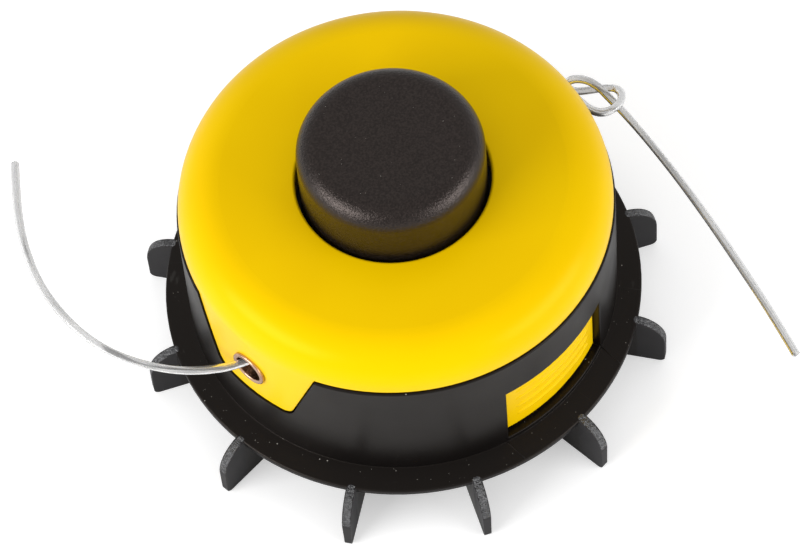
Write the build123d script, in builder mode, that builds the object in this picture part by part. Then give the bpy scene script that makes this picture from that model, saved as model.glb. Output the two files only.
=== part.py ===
from build123d import *
import os
from math import degrees, pi, radians, tan

# Bump-feed trimmer head: a finned base, a clip-on cover and a sprung spool with a tap knob.
# Millimetres. The origin is on the axis, level with the bottom of the fan fins; +Z points to the knob.

# Base: cup wall, flange and floor
base_radius = 45.9
base_wall = 2.2
parting_z = 46.8
fin_height = 13.0
floor_thickness = 2.5
flange_reach = 5.2
flange_rim = 1.5
flange_drop = 1.2
rim_round = 0.45
wall_top_round = 0.4

# Fan fins under and beyond the flange
fin_count = 12
fin_reach = 6.4
fin_thickness = 2.1
fin_draft = 1.1
fin_shoulder_z = 7.6
fin_toe_round = 1.4
fin_inner_radius = 33.0
fin_rib_radius = 22.0
fin_rib_depth = 5.0

# Hub, drive insert and centre post
hub_radius = 11.0
hub_bottom_z = 1.5
insert_flats = 13.0
insert_length = 12.0
drive_bore_radius = 3.4
drive_bore_chamfer = 0.8
shaft_room = 10.0
shaft_room_radius = 4.2
post_radius = 6.5
post_rise = 6.0
post_chamfer = 1.0
spring_seat_radius = 8.4
spring_seat_height = 3.0

# Cover: domed cap with a hole for the knob
cover_inset = 0.4
cover_height = 10.5
cover_edge_radius = 9.3
cover_wall = 2.2
cover_rim_chamfer = 0.3
knob_hole_round = 0.6
parting_gap = 0.2
collar_wall = 2.2
collar_depth = 4.0
spigot_wall = 2.1
spigot_depth = 3.0
spigot_rise = 4.5
spigot_clearance = 0.25

# Eyelet lugs of the cover and the notches that take them
lug_top_half_width = 16.5
lug_bottom_half_width = 9.8
lug_depth = 18.2
lug_corner_round = 3.2
lug_thickness = 3.0
lug_gap = 0.35

# Eyelets
eyelet_drop = 8.8
eyelet_bore_radius = 3.15
eyelet_wall = 0.4
eyelet_rim_radius = 4.2
eyelet_rim_height = 0.6
eyelet_rim_round = 0.28
eyelet_seat = 0.3
eyelet_clearance = 0.05

# Latch arms of the cover and the windows that their pads catch in
window_half_angle = 18.5
window_sill = 1.3
window_height = 18.5
arm_half_angle = 20.5
arm_thickness = 2.0
arm_clearance = 0.3
pad_recess = 1.5
pad_side_gap_angle = 0.5
pad_top_gap = 0.3
pad_bottom_gap = 1.2
pad_edge_round = 0.3
window_edge_round = 0.25
bead_count = 4
bead_pitch = 3.0
bead_round = 1.3
bead_height = 0.25
bead_length = 19.0

# Indexing lugs: six on the cover, six on the floor half a pitch later, six above and below the spool
index_count = 6
index_inner_radius = 24.0
index_outer_radius = 31.0
index_half_angle = 5.5
index_side_gap_angle = 0.8
cover_index_depth = 4.6
floor_index_height = 4.0
spool_lower_index_height = 3.5

# Spool
spool_travel = 6.0
spool_top_gap = 0.1
lower_engage = 2.5
spool_side_gap = 2.85
spool_flange = 1.8
spool_divider = 1.6
spool_top_index_height = 6.0
core_radius = 19.0
core_wall = 2.4
web_thickness = 2.2
web_drop = 3.0
post_clearance = 0.08
neck_height = 7.0
neck_wall = 2.2
neck_clearance = 0.15
line_slot_width = 2.0
line_slot_depth = 4.0

# Tap knob
knob_radius = 19.55
knob_gap = 0.85
knob_rise = 14.7
knob_edge_radius = 5.0
knob_wall = 2.4
peg_count = 3
peg_half_angle = 11.0
peg_reach = 1.6
peg_height = 2.5
peg_rise = 2.0
peg_clearance = 0.25
peg_clearance_angle = 1.0

# Spring and thrust washer
spring_mean_radius = 10.0
spring_wire = 1.2
spring_turns = 5
spring_wire_sides = 8
washer_radius = 13.0
washer_thickness = 1.0
washer_clearance = 0.4
seat_gap = 0.1

# Line: the wound store and the two free ends
line_diameter = 1.6
winding_margin = 5.0
winding_side_gap = 0.15
winding_turns = 5

# Routes of the free ends, from just inside each eyelet to the cut tip
left_route = [
    (-41.0, -0.6, 38.4),
    (-45.2, 1.3, 38.6),
    (-49.6, 3.9, 38.6),
    (-54.7, 8.9, 38.5),
    (-58.8, 15.2, 38.5),
    (-61.7, 22.9, 38.5),
    (-62.8, 30.8, 38.5),
    (-62.0, 39.3, 38.5),
    (-59.8, 47.6, 38.5),
    (-55.3, 56.4, 38.5),
    (-49.0, 64.7, 38.5),
    (-42.1, 71.9, 38.5),
]
right_route = [
    (41.0, 0.6, 37.9),
    (44.9, -0.2, 38.6),
    (47.2, -1.7, 40.2),
    (46.9, -5.3, 41.6),
    (46.5, -9.4, 41.2),
    (46.4, -12.8, 40.8),
    (47.6, -15.6, 40.6),
    (50.8, -16.7, 40.2),
    (54.3, -15.5, 38.9),
    (56.1, -12.4, 37.4),
    (54.4, -9.4, 36.2),
    (51.8, -7.1, 35.9),
    (49.6, -5.1, 36.2),
    (48.9, -3.9, 38.2),
    (49.8, -4.6, 40.4),
    (51.7, -7.0, 40.6),
    (52.6, -9.9, 39.8),
    (52.7, -13.2, 38.0),
    (52.2, -17.5, 37.5),
    (49.9, -26.7, 38.1),
    (46.7, -38.0, 38.5),
    (42.9, -50.0, 38.5),
    (38.8, -61.7, 38.5),
    (34.7, -73.1, 38.5),
    (30.4, -83.5, 38.5),
]
bend_share = 0.45
skin_tolerance = 0.01

# Sizes that follow from the ones above
base_inner_radius = base_radius - base_wall
floor_top_z = fin_height + floor_thickness
flange_radius = base_radius + flange_reach
flange_rim_z = fin_height + flange_rim
flange_root_z = flange_rim_z + flange_drop
window_bottom_z = flange_root_z + window_sill
window_top_z = window_bottom_z + window_height
fin_radius = flange_radius + fin_reach
insert_top_z = hub_bottom_z + insert_length
cover_radius = base_radius - cover_inset
cover_rim_z = parting_z + parting_gap
cover_top_z = parting_z + cover_height
cover_ceiling_z = cover_top_z - cover_wall
cover_edge_z = cover_top_z - cover_edge_radius
cover_crown_radius = cover_radius - cover_edge_radius
knob_hole_radius = knob_radius + knob_gap
spigot_outer_radius = base_inner_radius - spigot_clearance
spigot_inner_radius = spigot_outer_radius - spigot_wall
spigot_bottom_z = parting_z - spigot_depth
spool_flange_radius = spigot_inner_radius - spool_side_gap
winding_radius = spool_flange_radius - winding_margin
arm_outer_radius = base_inner_radius - arm_clearance
arm_inner_radius = arm_outer_radius - arm_thickness
pad_radius = base_radius - pad_recess
pad_half_angle = window_half_angle - pad_side_gap_angle
pad_bottom_z = window_bottom_z + pad_bottom_gap
pad_top_z = window_top_z - pad_top_gap
pad_height = pad_top_z - pad_bottom_z
bead_half_angle = degrees(bead_length / 2 / pad_radius)
lug_inner_radius = cover_radius - lug_thickness
lug_bottom_z = parting_z - lug_depth
lug_root_z = (cover_rim_z + cover_edge_z) / 2
eyelet_z = parting_z - eyelet_drop
eyelet_barrel_radius = eyelet_bore_radius + eyelet_wall
index_pitch = 360 / index_count
spool_index_angle = 2 * index_half_angle + index_side_gap_angle
spool_top_z = cover_ceiling_z - spool_top_gap - spool_top_index_height
floor_index_top_z = floor_top_z + floor_index_height
spool_lower_index_z = floor_index_top_z - lower_engage + spool_travel
spool_bottom_z = spool_lower_index_z + spool_lower_index_height
upper_flange_z = spool_top_z - spool_flange
lower_flange_top_z = spool_bottom_z + spool_flange
chamber_height = (upper_flange_z - lower_flange_top_z - spool_divider) / 2
divider_z = lower_flange_top_z + chamber_height
web_top_z = spool_top_z - web_drop
web_bottom_z = web_top_z - web_thickness
post_top_z = web_top_z + post_rise
knob_top_z = cover_top_z + knob_rise
knob_inner_radius = knob_radius - knob_wall
peg_bottom_z = spool_top_z + peg_rise
neck_radius = knob_inner_radius - neck_clearance
neck_inner_radius = neck_radius - neck_wall
washer_top_z = web_bottom_z - seat_gap
washer_bottom_z = washer_top_z - washer_thickness
spring_bottom_z = floor_top_z
spring_top_z = washer_bottom_z - seat_gap


def sector_plan(inner_radius, outer_radius, half_angle):
    """Flat ring sector centred on +X, with radial sides."""
    with BuildSketch(Plane.XY) as plan:
        with BuildLine():
            outer = CenterArc((0, 0), outer_radius, -half_angle, 2 * half_angle)
            inner = CenterArc((0, 0), inner_radius, -half_angle, 2 * half_angle)
            Line(outer @ 0, inner @ 0)
            Line(outer @ 1, inner @ 1)
        make_face()
    return plan.sketch


def lug_outline(grow):
    """Eyelet lug seen along X, grown sideways and downwards for the notch that takes it."""
    with BuildSketch(Plane.YZ) as outline:
        with BuildLine():
            Polyline(
                (-lug_top_half_width - grow, cover_edge_z),
                (-lug_bottom_half_width - grow, lug_bottom_z - grow),
                (lug_bottom_half_width + grow, lug_bottom_z - grow),
                (lug_top_half_width + grow, cover_edge_z),
                close=True,
            )
        make_face()
        fillet(outline.vertices().group_by(Axis.Y)[0], lug_corner_round + grow)
    return outline.sketch


def skin_edges(edges, radius):
    """Those edges that lie on the cylinder of that radius about Z."""
    on_skin = ShapeList()
    for edge in edges:
        reaches = [Vector(point.X, point.Y).length for point in (edge @ 0, edge @ 0.5, edge @ 1)]
        if max(abs(reach - radius) for reach in reaches) < skin_tolerance:
            on_skin.append(edge)
    return on_skin


def bend_radii(route):
    """Largest even arc at each inner point of a line's route."""
    points = [Vector(point) for point in route]
    radii = []
    for before, corner, after in zip(points, points[1:], points[2:]):
        run_in = corner - before
        run_out = after - corner
        half_turn = radians(run_in.get_angle(run_out) / 2)
        radii.append(bend_share * min(run_in.length, run_out.length) / tan(half_turn))
    return radii


index_plan = sector_plan(index_inner_radius, index_outer_radius, index_half_angle)

# Fan fin on +X: a drafted rib cut to the blade's outline
with BuildPart() as fan_fin:
    with BuildSketch(Plane.XY.offset(flange_root_z)):
        with Locations((fin_radius / 2, 0)):
            Rectangle(fin_radius, fin_thickness)
    extrude(amount=-flange_root_z, taper=fin_draft)
    with BuildSketch(Plane.XZ) as blade:
        with BuildLine():
            fin_tip_radius = fin_radius - tan(radians(fin_draft)) * flange_root_z
            fin_crest_radius = flange_radius - rim_round
            crest = (fin_crest_radius, flange_rim_z)
            shoulder = (fin_tip_radius, fin_shoulder_z)
            RadiusArc(crest, shoulder, fin_radius - fin_crest_radius)
            Polyline(
                shoulder,
                (fin_tip_radius, 0),
                (fin_inner_radius, 0),
                (fin_rib_radius, fin_height - fin_rib_depth),
                (hub_radius / 2, fin_height - fin_rib_depth),
                (hub_radius / 2, fin_height + floor_thickness / 2),
                (fin_crest_radius, fin_height + flange_rim / 2),
                crest,
            )
        make_face()
        fillet(blade.vertices().group_by(Axis.Y)[0].sort_by(Axis.X)[-1], fin_toe_round)
    extrude(amount=fin_thickness, both=True, mode=Mode.INTERSECT)

# Base: cup with windows and notches, then hub, fins, post and indexing lugs
with BuildPart() as base_housing:
    with BuildSketch(Plane.XZ):
        with BuildLine():
            Polyline(
                (0, fin_height),
                (flange_radius, fin_height),
                (flange_radius, flange_rim_z),
                (base_radius, flange_root_z),
                (base_radius, parting_z),
                (base_inner_radius, parting_z),
                (base_inner_radius, floor_top_z),
                (0, floor_top_z),
                close=True,
            )
        make_face()
    revolve(axis=Axis.Z)
    cup_edges = base_housing.edges().filter_by(GeomType.CIRCLE).sort_by(SortBy.RADIUS)
    fillet(cup_edges[-2:], rim_round)
    lip_edges = base_housing.edges().filter_by(GeomType.CIRCLE).group_by(Axis.Z)[-1]
    fillet(lip_edges.sort_by(SortBy.RADIUS)[-1], wall_top_round)
    window_plan = sector_plan(base_inner_radius - base_wall, flange_radius, window_half_angle)
    with BuildSketch(Plane.XY.offset(window_bottom_z)):
        with PolarLocations(0, 2, start_angle=90):
            add(window_plan)
    extrude(amount=window_height, mode=Mode.SUBTRACT)
    fillet(skin_edges(base_housing.edges(Select.LAST), base_radius), window_edge_round)
    extrude(lug_outline(lug_gap), amount=flange_radius, both=True, mode=Mode.SUBTRACT)
    with BuildSketch(Plane.XY.offset(hub_bottom_z)):
        Circle(hub_radius)
    extrude(amount=floor_top_z - hub_bottom_z)
    with PolarLocations(0, fin_count):
        add(fan_fin.part)
    with BuildSketch(Plane.XY.offset(floor_top_z)):
        Circle(spring_seat_radius)
    extrude(amount=spring_seat_height)
    with BuildSketch(Plane.XY.offset(floor_top_z)):
        Circle(post_radius)
    extrude(amount=post_top_z - floor_top_z)
    chamfer(base_housing.faces().sort_by(Axis.Z)[-1].edges(), post_chamfer)
    with BuildSketch(Plane.XY.offset(floor_top_z)):
        with PolarLocations(0, index_count, start_angle=index_pitch / 2):
            add(index_plan)
    extrude(amount=floor_index_height)
    with BuildSketch(Plane.XY.offset(hub_bottom_z)):
        RegularPolygon(insert_flats / 2, 6, major_radius=False)
    extrude(amount=insert_length, mode=Mode.SUBTRACT)
    with BuildSketch(Plane.XY.offset(insert_top_z)):
        Circle(shaft_room_radius)
    extrude(amount=shaft_room, mode=Mode.SUBTRACT)

# Threaded brass insert that takes the motor shaft
with BuildPart() as drive_insert:
    with BuildSketch(Plane.XY.offset(hub_bottom_z)):
        RegularPolygon(insert_flats / 2, 6, major_radius=False)
        Circle(drive_bore_radius, mode=Mode.SUBTRACT)
    extrude(amount=insert_length)
    mouth = drive_insert.edges().filter_by(GeomType.CIRCLE).sort_by(Axis.Z)[0]
    chamfer(mouth, drive_bore_chamfer)

# Eyelet lugs: a band of the cover's own radius, cut to the lug outline
with BuildPart() as eyelet_lugs:
    with BuildSketch(Plane.XY.offset(lug_bottom_z)):
        Circle(cover_radius)
        Circle(lug_inner_radius, mode=Mode.SUBTRACT)
    extrude(amount=lug_root_z - lug_bottom_z)
    extrude(lug_outline(0), amount=flange_radius, both=True, mode=Mode.INTERSECT)
    with BuildSketch(Plane.YZ):
        with Locations((0, eyelet_z)):
            Circle(eyelet_barrel_radius + eyelet_clearance)
    extrude(amount=flange_radius, both=True, mode=Mode.SUBTRACT)

# Latch pad on +X: a block with rounded edges and low beads for the finger
with BuildPart() as latch_pad:
    with BuildSketch(Plane.XY.offset(pad_bottom_z)):
        add(sector_plan(arm_inner_radius, pad_radius, pad_half_angle))
    extrude(amount=pad_height)
    fillet(skin_edges(latch_pad.edges(), pad_radius), pad_edge_round)
    with BuildSketch(Plane.XZ.rotated((0, 0, -bead_half_angle))):
        with Locations((pad_radius + bead_height - bead_round, pad_bottom_z + pad_height / 2)):
            with GridLocations(0, bead_pitch, 1, bead_count):
                Circle(bead_round)
    revolve(axis=Axis.Z, revolution_arc=2 * bead_half_angle)

# Cover: domed cap with knob collar, spigot, indexing lugs, latch arms with pads, and eyelet lugs
# Its section stands midway between two indexing lugs
cap_plane = Plane.XZ.rotated((0, 0, index_pitch / 2))
with BuildPart() as cover:
    with BuildSketch(cap_plane) as cap_section:
        with BuildLine():
            shell_inner_radius = cover_radius - cover_wall
            collar_radius = knob_hole_radius + collar_wall
            collar_z = cover_ceiling_z - collar_depth
            Line((knob_hole_radius, cover_top_z), (cover_crown_radius, cover_top_z))
            RadiusArc((cover_crown_radius, cover_top_z), (cover_radius, cover_edge_z), cover_edge_radius)
            Polyline(
                (cover_radius, cover_edge_z),
                (cover_radius, cover_rim_z + cover_rim_chamfer),
                (cover_radius - cover_rim_chamfer, cover_rim_z),
                (shell_inner_radius, cover_rim_z),
                (shell_inner_radius, cover_edge_z),
            )
            RadiusArc(
                (shell_inner_radius, cover_edge_z),
                (cover_crown_radius, cover_ceiling_z),
                cover_wall - cover_edge_radius,
            )
            Polyline(
                (cover_crown_radius, cover_ceiling_z),
                (collar_radius, cover_ceiling_z),
                (collar_radius, collar_z),
                (knob_hole_radius, collar_z),
                (knob_hole_radius, cover_top_z),
            )
        make_face()
        fillet(cap_section.vertices().group_by(Axis.Y)[-1].sort_by(Axis.X)[0], knob_hole_round)
    revolve(axis=Axis.Z)
    with BuildSketch(cap_plane):
        with BuildLine():
            Polyline(
                (spigot_inner_radius, spigot_bottom_z),
                (spigot_outer_radius, spigot_bottom_z),
                (spigot_outer_radius, cover_rim_z),
                (shell_inner_radius + cover_wall / 2, cover_rim_z),
                (shell_inner_radius + cover_wall / 2, cover_rim_z + cover_wall / 2),
                (spigot_inner_radius, cover_rim_z + spigot_rise),
                close=True,
            )
        make_face()
    revolve(axis=Axis.Z)
    with BuildSketch(Plane.XY.offset(cover_ceiling_z - cover_index_depth)):
        with PolarLocations(0, index_count):
            add(index_plan)
    extrude(amount=cover_index_depth + cover_wall / 2)
    arm_plan = sector_plan(arm_inner_radius, arm_outer_radius, arm_half_angle)
    with BuildSketch(Plane.XY.offset(pad_bottom_z)):
        with PolarLocations(0, 2, start_angle=90):
            add(arm_plan)
    extrude(amount=parting_z - pad_bottom_z)
    with PolarLocations(0, 2, start_angle=90):
        add(latch_pad.part)
    add(eyelet_lugs.part)

# Brass eyelets: a barrel through the lug with a rolled rim outside and a flare inside
eyelet_axis = Axis((0, 0, eyelet_z), (1, 0, 0))
with BuildPart() as eyelet_right:
    with BuildSketch(Plane.XZ) as eyelet_section:
        with BuildLine():
            flare_x = lug_inner_radius - eyelet_seat
            Polyline(
                (flare_x - eyelet_rim_height, eyelet_z + eyelet_bore_radius),
                (cover_radius + eyelet_rim_height, eyelet_z + eyelet_bore_radius),
                (cover_radius + eyelet_rim_height, eyelet_z + eyelet_rim_radius),
                (cover_radius, eyelet_z + eyelet_rim_radius),
                (cover_radius, eyelet_z + eyelet_barrel_radius),
                (flare_x, eyelet_z + eyelet_barrel_radius),
                (flare_x, eyelet_z + eyelet_rim_radius),
                (flare_x - eyelet_rim_height, eyelet_z + eyelet_rim_radius),
                close=True,
            )
        make_face()
        fillet(eyelet_section.vertices().group_by(Axis.X)[-1], eyelet_rim_round)
    revolve(axis=eyelet_axis)

with BuildPart() as eyelet_left:
    mirror(eyelet_right.part, about=Plane.YZ)

# Spool: two chambers on a hollow core, a web that runs on the post, and a neck for the knob
with BuildPart() as spool:
    with BuildSketch(Plane.XZ):
        with BuildLine():
            core_inner_radius = core_radius - core_wall
            spool_bore_radius = post_radius + post_clearance
            neck_top_z = spool_top_z + neck_height
            Polyline(
                (core_inner_radius, spool_bottom_z),
                (spool_flange_radius, spool_bottom_z),
                (spool_flange_radius, lower_flange_top_z),
                (core_radius, lower_flange_top_z),
                (core_radius, divider_z),
                (spool_flange_radius, divider_z),
                (spool_flange_radius, divider_z + spool_divider),
                (core_radius, divider_z + spool_divider),
                (core_radius, upper_flange_z),
                (spool_flange_radius, upper_flange_z),
                (spool_flange_radius, spool_top_z),
                (neck_radius, spool_top_z),
                (neck_radius, neck_top_z),
                (neck_inner_radius, neck_top_z),
                (neck_inner_radius, web_top_z),
                (spool_bore_radius, web_top_z),
                (spool_bore_radius, web_bottom_z),
                (core_inner_radius, web_bottom_z),
                close=True,
            )
        make_face()
    revolve(axis=Axis.Z)
    with BuildSketch(Plane.XY.offset(spool_top_z)):
        with PolarLocations(0, index_count, start_angle=spool_index_angle):
            add(index_plan)
    extrude(amount=spool_top_index_height)
    with BuildSketch(Plane.XY.offset(spool_lower_index_z)):
        with PolarLocations(0, index_count, start_angle=spool_index_angle):
            add(index_plan)
    extrude(amount=spool_lower_index_height)
    with BuildSketch(Plane.XY.offset(spool_bottom_z)):
        with PolarLocations(spool_flange_radius, 2, start_angle=index_pitch / 2):
            SlotOverall(2 * line_slot_depth, line_slot_width)
    extrude(amount=spool_top_z - spool_bottom_z, mode=Mode.SUBTRACT)
    window_reach = neck_radius + neck_clearance
    peg_window_half_angle = peg_half_angle + peg_clearance_angle
    peg_window_plan = sector_plan(neck_inner_radius - neck_wall, window_reach, peg_window_half_angle)
    with BuildSketch(Plane.XY.offset(peg_bottom_z - peg_clearance)):
        with PolarLocations(0, peg_count):
            add(peg_window_plan)
    extrude(amount=peg_height + 2 * peg_clearance, mode=Mode.SUBTRACT)

# Tap knob: a deep cap over the spool's neck, held by pegs in the neck's windows
with BuildPart() as bump_knob:
    with BuildSketch(Plane.XZ) as knob_section:
        with BuildLine():
            Polyline(
                (0, knob_top_z),
                (knob_radius, knob_top_z),
                (knob_radius, spool_top_z),
                (knob_inner_radius, spool_top_z),
                (knob_inner_radius, knob_top_z - knob_wall),
                (0, knob_top_z - knob_wall),
                close=True,
            )
        make_face()
        crown = knob_section.vertices().group_by(Axis.Y)
        fillet(crown[-1].sort_by(Axis.X)[-1], knob_edge_radius)
        fillet(crown[-2].sort_by(Axis.X)[-1], knob_edge_radius - knob_wall)
    revolve(axis=Axis.Z)
    peg_plan = sector_plan(knob_inner_radius - peg_reach, knob_inner_radius + knob_wall / 2, peg_half_angle)
    with BuildSketch(Plane.XY.offset(peg_bottom_z)):
        with PolarLocations(0, peg_count):
            add(peg_plan)
    extrude(amount=peg_height)

# Steel thrust washer between the spring and the spool's web
with BuildPart() as thrust_washer:
    with BuildSketch(Plane.XY.offset(washer_bottom_z)):
        Circle(washer_radius)
        Circle(post_radius + washer_clearance, mode=Mode.SUBTRACT)
    extrude(amount=washer_thickness)

# Feed spring, ground flat at both ends
with BuildPart() as feed_spring:
    spring_length = spring_top_z - spring_bottom_z
    spring_pitch = spring_length / spring_turns
    with BuildLine(Plane.XY.offset(spring_bottom_z)) as coil:
        Helix(pitch=spring_pitch, height=spring_length, radius=spring_mean_radius)
    with BuildSketch(Plane(origin=coil.line @ 0, z_dir=coil.line % 0)):
        RegularPolygon(spring_wire / 2, spring_wire_sides)
    sweep(path=coil.line, is_frenet=True)
    with BuildSketch(Plane.XY.offset(spring_bottom_z)):
        Circle(2 * spring_mean_radius)
    extrude(amount=spring_length, mode=Mode.INTERSECT)


def winding(floor_z):
    """Wound line filling one chamber of the spool, with the turns of its outer layer."""
    with BuildPart() as store:
        with BuildSketch(Plane.XZ):
            with BuildLine():
                bottom_z = floor_z + winding_side_gap
                top_z = floor_z + chamber_height - winding_side_gap
                turn_height = (top_z - bottom_z) / winding_turns
                valley_radius = winding_radius - turn_height / 2
                Polyline(
                    (valley_radius, bottom_z),
                    (core_radius, bottom_z),
                    (core_radius, top_z),
                    (valley_radius, top_z),
                )
                for turn in range(winding_turns):
                    turn_z = bottom_z + turn * turn_height
                    Polyline(
                        (valley_radius, turn_z),
                        (winding_radius, turn_z + turn_height / 2),
                        (valley_radius, turn_z + turn_height),
                    )
            make_face()
        revolve(axis=Axis.Z)
    return store


def free_line(route):
    """Free end of the line along its route."""
    with BuildPart() as line:
        with BuildLine() as path:
            FilletPolyline(route, radius=bend_radii(route))
        with BuildSketch(Plane(origin=path.line @ 0, z_dir=path.line % 0)):
            Circle(line_diameter / 2)
        sweep(path=path.wire())
    length = path.wire().length
    section = pi * line_diameter**2 / 4
    print("line length", round(length, 2))
    print("volume over section times length", round(line.part.volume / (section * length), 4))
    print("bend radii", [round(radius, 1) for radius in bend_radii(route)])
    return line


pieces = {
    "base_housing": base_housing,
    "drive_insert": drive_insert,
    "cover": cover,
    "eyelet_left": eyelet_left,
    "eyelet_right": eyelet_right,
    "spool": spool,
    "line_winding_lower": winding(lower_flange_top_z),
    "line_winding_upper": winding(divider_z + spool_divider),
    "bump_knob": bump_knob,
    "thrust_washer": thrust_washer,
    "feed_spring": feed_spring,
    "line_left": free_line(left_route),
    "line_right": free_line(right_route),
}
os.makedirs("parts", exist_ok=True)
for name, piece in pieces.items():
    piece.part.label = name
    export_step(piece.part, "parts/" + name + ".step")
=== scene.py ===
import math

import bmesh
import bpy
from bpy.props import FloatProperty, FloatVectorProperty, IntProperty, PointerProperty
from mathutils import Matrix, Quaternion, Vector, noise


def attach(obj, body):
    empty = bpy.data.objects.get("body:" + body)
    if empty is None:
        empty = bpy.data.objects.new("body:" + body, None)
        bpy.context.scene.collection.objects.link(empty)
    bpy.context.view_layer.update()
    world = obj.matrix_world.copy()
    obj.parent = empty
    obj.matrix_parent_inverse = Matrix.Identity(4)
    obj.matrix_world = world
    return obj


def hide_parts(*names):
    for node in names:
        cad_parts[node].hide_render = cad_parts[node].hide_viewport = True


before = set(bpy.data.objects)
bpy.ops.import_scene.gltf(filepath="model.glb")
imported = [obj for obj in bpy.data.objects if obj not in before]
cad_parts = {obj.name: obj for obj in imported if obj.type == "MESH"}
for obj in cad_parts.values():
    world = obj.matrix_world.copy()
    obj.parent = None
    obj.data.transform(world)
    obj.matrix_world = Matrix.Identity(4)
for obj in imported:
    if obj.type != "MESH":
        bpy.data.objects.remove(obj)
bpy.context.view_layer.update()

bl_info = {
    "name": "Bump-Feed Trimmer Head",
    "version": (1, 0, 0),
    "blender": (4, 5, 0),
    "location": "3D View > Sidebar > Trimmer Head",
    "description": "Gives a trimmer head its moulded plastics, brass, clear line and studio",
    "category": "Object",
}

# Routes of the free line ends in metres, from just inside each eyelet to the cut tip
LEFT_ROUTE = [
    (-0.0410, -0.0006, 0.0384),
    (-0.0452, 0.0013, 0.0386),
    (-0.0496, 0.0039, 0.0386),
    (-0.0547, 0.0089, 0.0385),
    (-0.0588, 0.0152, 0.0385),
    (-0.0617, 0.0229, 0.0385),
    (-0.0628, 0.0308, 0.0385),
    (-0.0620, 0.0393, 0.0385),
    (-0.0598, 0.0476, 0.0385),
    (-0.0553, 0.0564, 0.0385),
    (-0.0490, 0.0647, 0.0385),
    (-0.0421, 0.0719, 0.0385),
]
RIGHT_ROUTE = [
    (0.0410, 0.0006, 0.0379),
    (0.0449, -0.0002, 0.0386),
    (0.0472, -0.0017, 0.0402),
    (0.0469, -0.0053, 0.0416),
    (0.0465, -0.0094, 0.0412),
    (0.0464, -0.0128, 0.0408),
    (0.0476, -0.0156, 0.0406),
    (0.0508, -0.0167, 0.0402),
    (0.0543, -0.0155, 0.0389),
    (0.0561, -0.0124, 0.0374),
    (0.0544, -0.0094, 0.0362),
    (0.0518, -0.0071, 0.0359),
    (0.0496, -0.0051, 0.0362),
    (0.0489, -0.0039, 0.0382),
    (0.0498, -0.0046, 0.0404),
    (0.0517, -0.0070, 0.0406),
    (0.0526, -0.0099, 0.0398),
    (0.0527, -0.0132, 0.0380),
    (0.0522, -0.0175, 0.0375),
    (0.0499, -0.0267, 0.0381),
    (0.0467, -0.0380, 0.0385),
    (0.0429, -0.0500, 0.0385),
    (0.0388, -0.0617, 0.0385),
    (0.0347, -0.0731, 0.0385),
    (0.0304, -0.0835, 0.0385),
]

# Corners of the thread's profile: share of the thread's depth, and share of the pitch
THREAD_PROFILE = ((0.0, 0.0), (0.0, 0.25), (1.0, 0.56), (1.0, 0.69))
THREAD_STEPS = 48
THREAD_CREASE = math.radians(35)

# Grid of the skin on a fin's crest, and the noise that tears it
FLASH_COLUMNS = 11
FLASH_STEPS = 44
FLASH_FREQUENCY = 2600
FLASH_SHIFT = 31.7

# Handle of a Bezier point for each unit of the corner's rounding
CORNER_HANDLE = 1.28


def colour(name, description, default):
    """A colour that a user can change."""
    return FloatVectorProperty(
        name=name, description=description, subtype="COLOR", size=3, min=0, max=1, default=default
    )


def length(name, description, default):
    """A length in metres that a user can change."""
    return FloatProperty(
        name=name, description=description, unit="LENGTH", precision=5, default=default
    )


def angle(name, description, degrees):
    """An angle that a user can change."""
    return FloatProperty(
        name=name, description=description, subtype="ANGLE", default=math.radians(degrees)
    )


def amount(name, description, default):
    """A share from none to all that a user can change."""
    return FloatProperty(
        name=name, description=description, subtype="FACTOR", min=0, max=1, default=default
    )


class TrimmerHeadView(bpy.types.PropertyGroup):
    """The camera's stand."""

    place: FloatVectorProperty(
        name="Place",
        description="Where the camera stands",
        subtype="TRANSLATION",
        unit="LENGTH",
        size=3,
        default=(-0.354835, -0.382517, 0.901963),
    )
    aim: FloatVectorProperty(
        name="Aim",
        description="The point in the middle of the picture",
        subtype="TRANSLATION",
        unit="LENGTH",
        size=3,
        default=(-0.009224, -0.010765, 0.04),
    )
    roll: angle("Roll", "Turn of the camera about its line of sight", -5.476)
    lens: FloatProperty(
        name="Lens",
        description="Focal length on the default sensor",
        unit="CAMERA",
        default=213.07,
    )


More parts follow.
